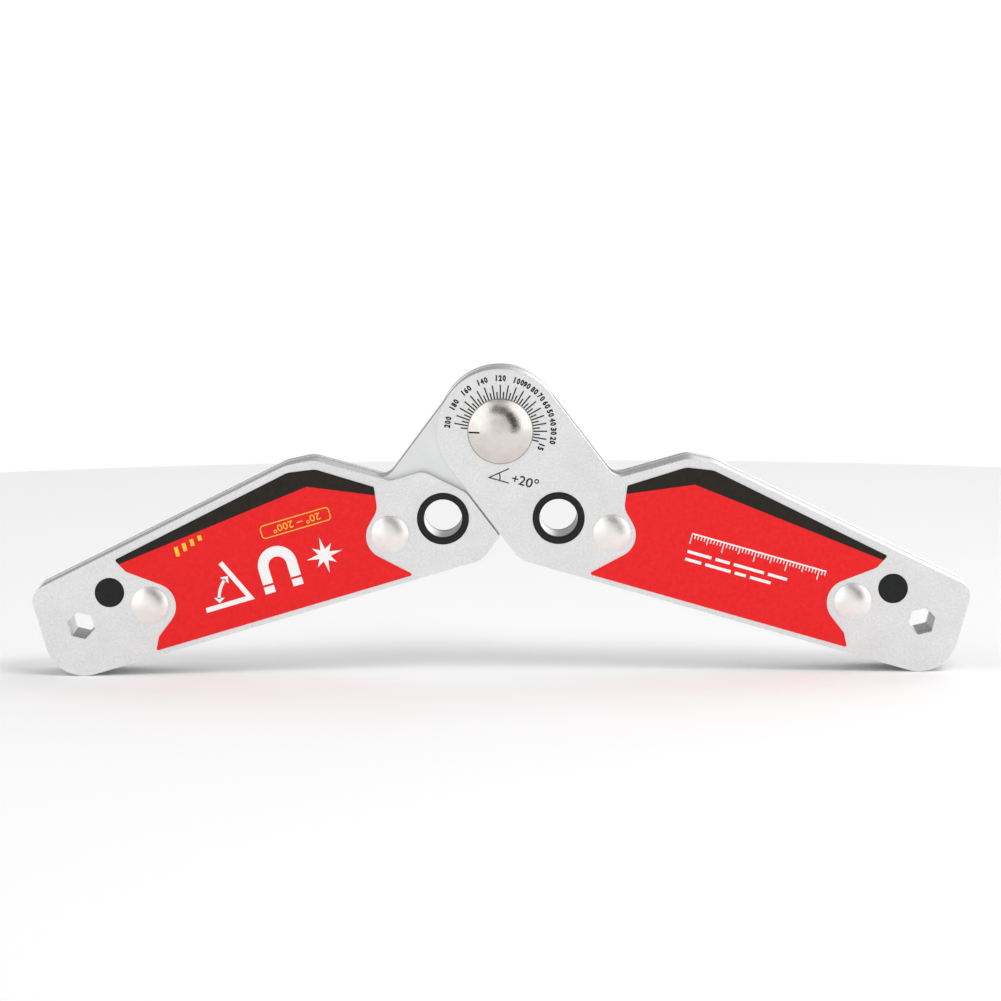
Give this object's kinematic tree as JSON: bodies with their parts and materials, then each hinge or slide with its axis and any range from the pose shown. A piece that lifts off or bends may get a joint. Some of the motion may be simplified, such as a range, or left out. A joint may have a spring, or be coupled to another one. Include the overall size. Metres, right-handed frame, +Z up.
{
  "type": "welding magnet holder",
  "caption": "Folding magnetic holder for welding: two flat magnetic arms on a friction pivot with an angle dial, to hold steel parts at a set angle.",
  "frame": {"origin": "on the floor under the pivot, at mid thickness", "axes": "+Z up as it stands fully open on its two outer corners, +X to the right seen from the dial side, dial side faces -Y"},
  "size_m": [0.2846, 0.0272, 0.0929],
  "materials": {
    "zinc_plated_steel": "bright zinc plating, satin, slightly grained",
    "core_alloy": "satin, milled edges",
    "ferrite": "matt dark grey, ground faces",
    "bush_steel": "turned bore",
    "black_plastic": "smooth moulded, slight sheen",
    "nickel_plated_steel": "warm nickel plating, soft polish",
    "printed_vinyl": "red and black printed vinyl, semi-gloss",
    "washer_bronze": "plain bronze sheet",
    "spring_steel": "oiled spring steel"
  },
  "bodies": {
    "fork_arm": {"fork_front_plate": "zinc_plated_steel", "fork_back_plate": "zinc_plated_steel", "fork_core": "core_alloy", "fork_inner_magnet": "ferrite", "fork_outer_magnet": "ferrite", "fork_ring_bush": "bush_steel", "fork_front_ring": "black_plastic", "fork_back_ring": "black_plastic", "fork_inner_rivet": "nickel_plated_steel", "fork_outer_rivet": "nickel_plated_steel", "fork_plugs": "black_plastic", "fork_label": "printed_vinyl"},
    "tongue_arm": {"tongue_front_plate": "zinc_plated_steel", "tongue_back_plate": "zinc_plated_steel", "tongue_core": "core_alloy", "tongue_inner_magnet": "ferrite", "tongue_outer_magnet": "ferrite", "tongue_ring_bush": "bush_steel", "tongue_front_ring": "black_plastic", "tongue_back_ring": "black_plastic", "tongue_inner_rivet": "nickel_plated_steel", "tongue_outer_rivet": "nickel_plated_steel", "tongue_plugs": "black_plastic", "tongue_label": "printed_vinyl", "pivot_rivet": "nickel_plated_steel", "front_friction_washer": "washer_bronze", "rear_friction_washer": "washer_bronze", "disc_spring": "spring_steel"}
  },
  "joints": [
    {"name": "arm_pivot", "type": "hinge", "parent": "fork_arm", "child": "tongue_arm", "pos_m": [0, 0, 0.07394], "axis": [0, 1, 0], "range_deg": [0, 195]}
  ]
}
